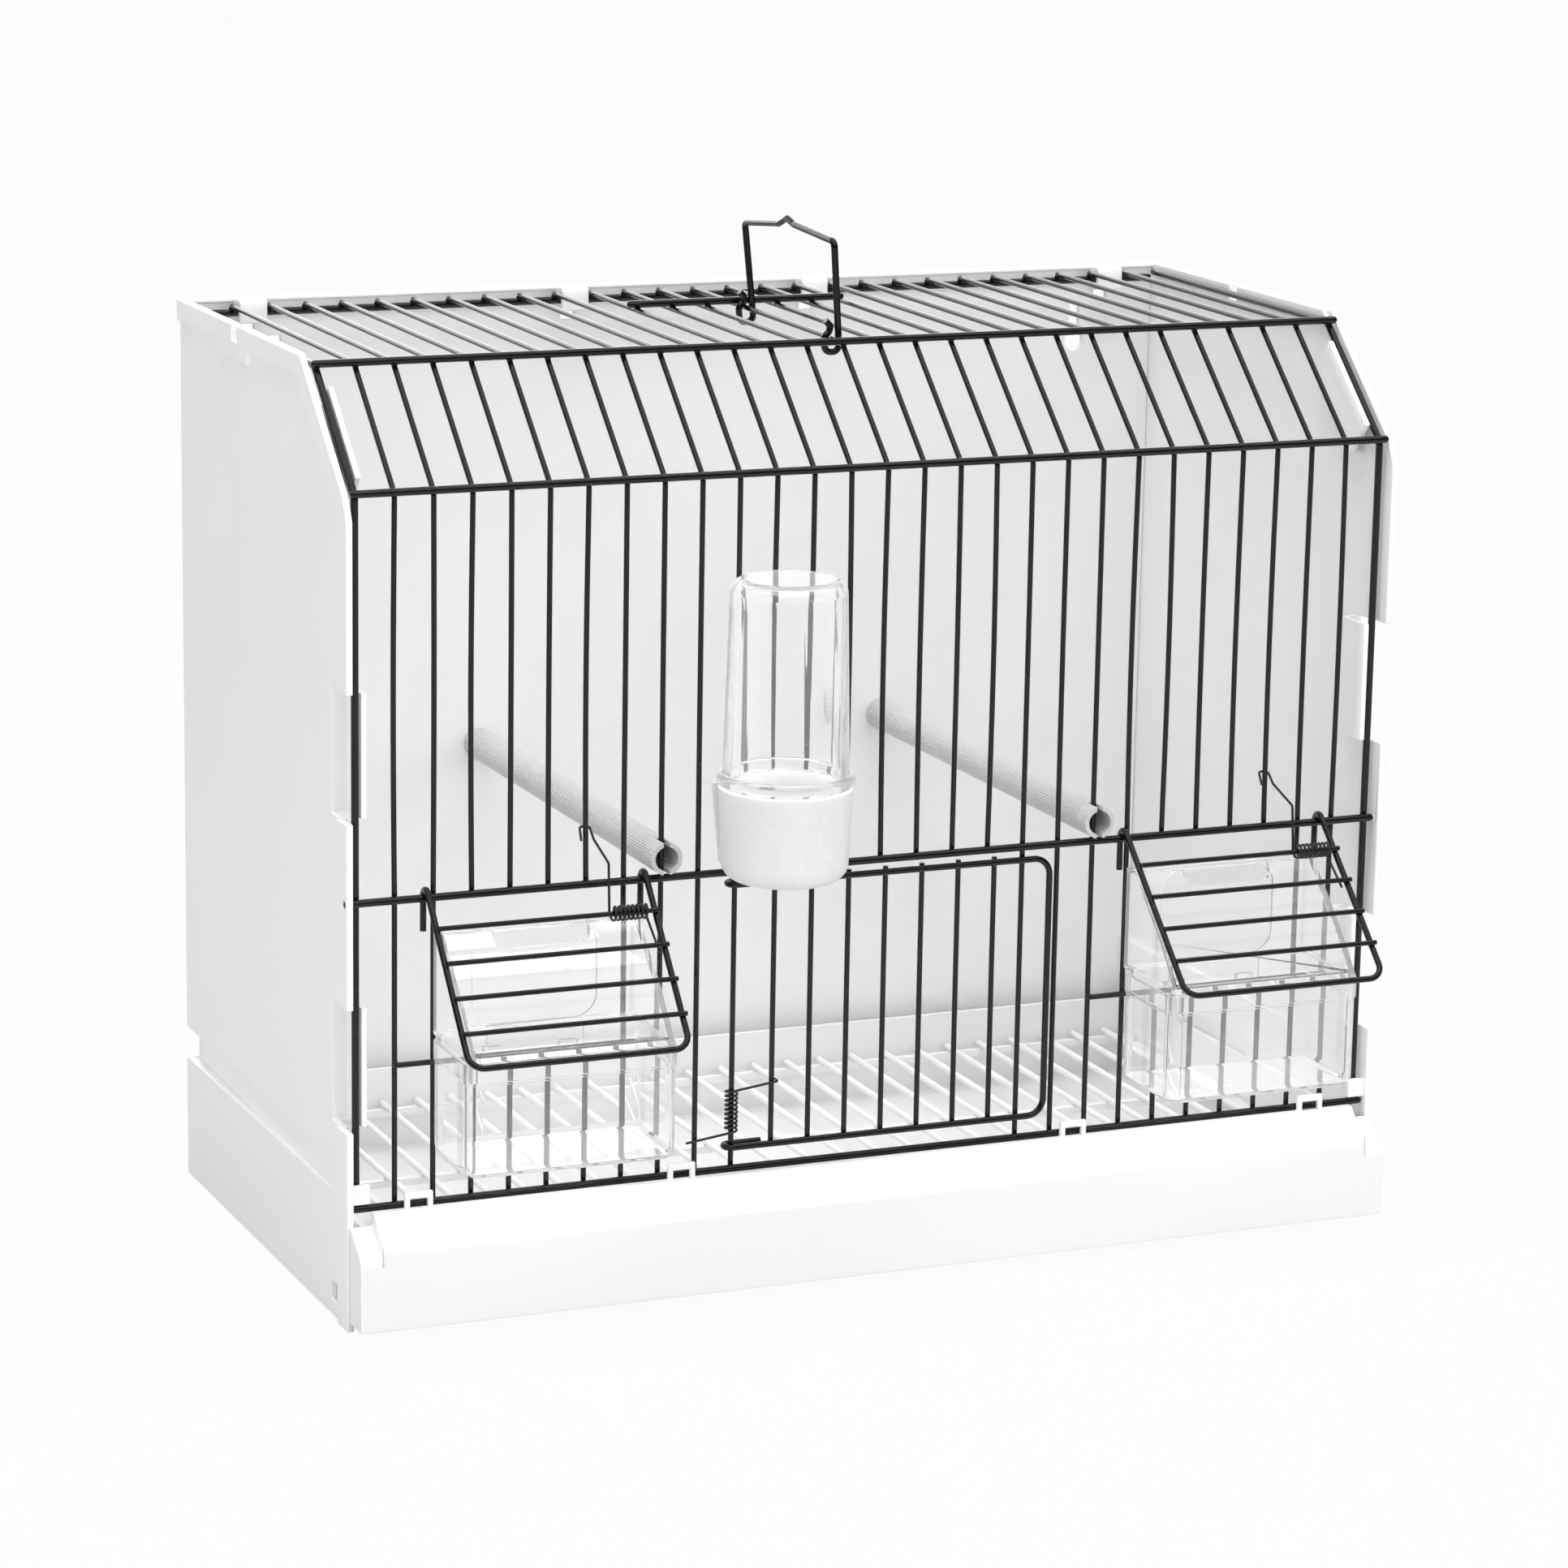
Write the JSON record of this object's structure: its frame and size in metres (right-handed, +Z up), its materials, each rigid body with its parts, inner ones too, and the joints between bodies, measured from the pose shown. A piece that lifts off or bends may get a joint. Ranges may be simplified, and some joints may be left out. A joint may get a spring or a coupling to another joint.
{
  "type": "bird show cage",
  "caption": "Wire-fronted show cage for small birds with plastic back and sides, sliding litter drawer, sprung door, seed feeders under flaps, drinker, perches and a carrying loop.",
  "frame": {"origin": "on the ground under the middle of the whole cage's bounding box", "axes": "+Z up, the wire front faces -Y, +X to the right seen from the front"},
  "size_m": [0.359, 0.2182, 0.3308],
  "materials": {
    "white_plastic": "satin white moulded plastic",
    "black_wire": "glossy black coating on steel wire",
    "spring_wire": "black spring wire",
    "clear_plastic": "clear moulded plastic",
    "grey_plastic": "ribbed light grey plastic"
  },
  "bodies": {
    "cage": {"long_wires": "black_wire", "short_wires": "black_wire", "edge_wires": "black_wire", "sill_uprights": "black_wire", "bottom_rail": "black_wire", "middle_rail": "black_wire", "slope_foot_rail": "black_wire", "top_front_rail": "black_wire", "rear_rail": "black_wire", "left_sill_wire": "black_wire", "right_sill_wire": "black_wire", "top_brace_wire": "black_wire", "door_spring": "spring_wire", "left_flap_spring": "spring_wire", "right_flap_spring": "spring_wire", "left_side_panel": "white_plastic", "right_side_panel": "white_plastic", "back_panel": "white_plastic", "left_perch": "grey_plastic", "right_perch": "grey_plastic", "left_feeder_hood": "clear_plastic", "right_feeder_hood": "clear_plastic"},
    "main_door": {"door_frame": "black_wire", "door_uprights": "black_wire"},
    "left_flap": {"left_flap_frame": "black_wire", "left_flap_bars": "black_wire"},
    "right_flap": {"right_flap_frame": "black_wire", "right_flap_bars": "black_wire"},
    "drawer": {"drawer": "white_plastic", "floor_grille": "white_plastic"},
    "handle": {"carry_handle": "black_wire"},
    "left_tray": {"left_feeder_tray": "clear_plastic"},
    "right_tray": {"right_feeder_tray": "clear_plastic"},
    "drinker_cup": {"drinker_cup": "white_plastic"},
    "drinker_tube": {"drinker_tube": "clear_plastic"}
  },
  "joints": [
    {"name": "door_hinge", "type": "hinge", "parent": "cage", "child": "main_door", "pos_m": [-0.05, -0.0626, 0.088], "axis": [0, 0, -1], "range_deg": [0, 110], "stiffness_Nm_per_rad": 0.0008, "springref_deg": -28.65, "deforming": ["door_spring"]},
    {"name": "left_flap_hinge", "type": "hinge", "parent": "cage", "child": "left_flap", "pos_m": [-0.1174, -0.06474, 0.13605], "axis": [-1, 0, 0], "range_deg": [0, 100], "stiffness_Nm_per_rad": 0.0012, "springref_deg": -34.38, "deforming": ["left_flap_spring"]},
    {"name": "right_flap_hinge", "type": "hinge", "parent": "cage", "child": "right_flap", "pos_m": [0.1201, -0.06474, 0.13605], "axis": [-1, 0, 0], "range_deg": [0, 100], "stiffness_Nm_per_rad": 0.0012, "springref_deg": -34.38, "deforming": ["right_flap_spring"]},
    {"name": "drawer_slide", "type": "slide", "parent": "cage", "child": "drawer", "axis": [0, -1, 0], "range_m": [0, 0.14]},
    {"name": "handle_hinge", "type": "hinge", "parent": "cage", "child": "handle", "pos_m": [0, 0.0194, 0.29584], "axis": [0, -1, -0.0055], "range_deg": [-64, 80]},
    {"name": "left_tray_pull", "type": "slide", "parent": "cage", "child": "left_tray", "axis": [0, 0, -1], "range_m": [0, 0.01]},
    {"name": "right_tray_pull", "type": "slide", "parent": "cage", "child": "right_tray", "axis": [0, 0, -1], "range_m": [0, 0.01]},
    {"name": "drinker_pull", "type": "slide", "parent": "cage", "child": "drinker_cup", "axis": [0, -1, 0], "range_m": [0, 0.04]},
    {"name": "drinker_tube_lift", "type": "slide", "parent": "drinker_cup", "child": "drinker_tube", "axis": [0, 0, 1], "range_m": [0, 0.02]}
  ]
}
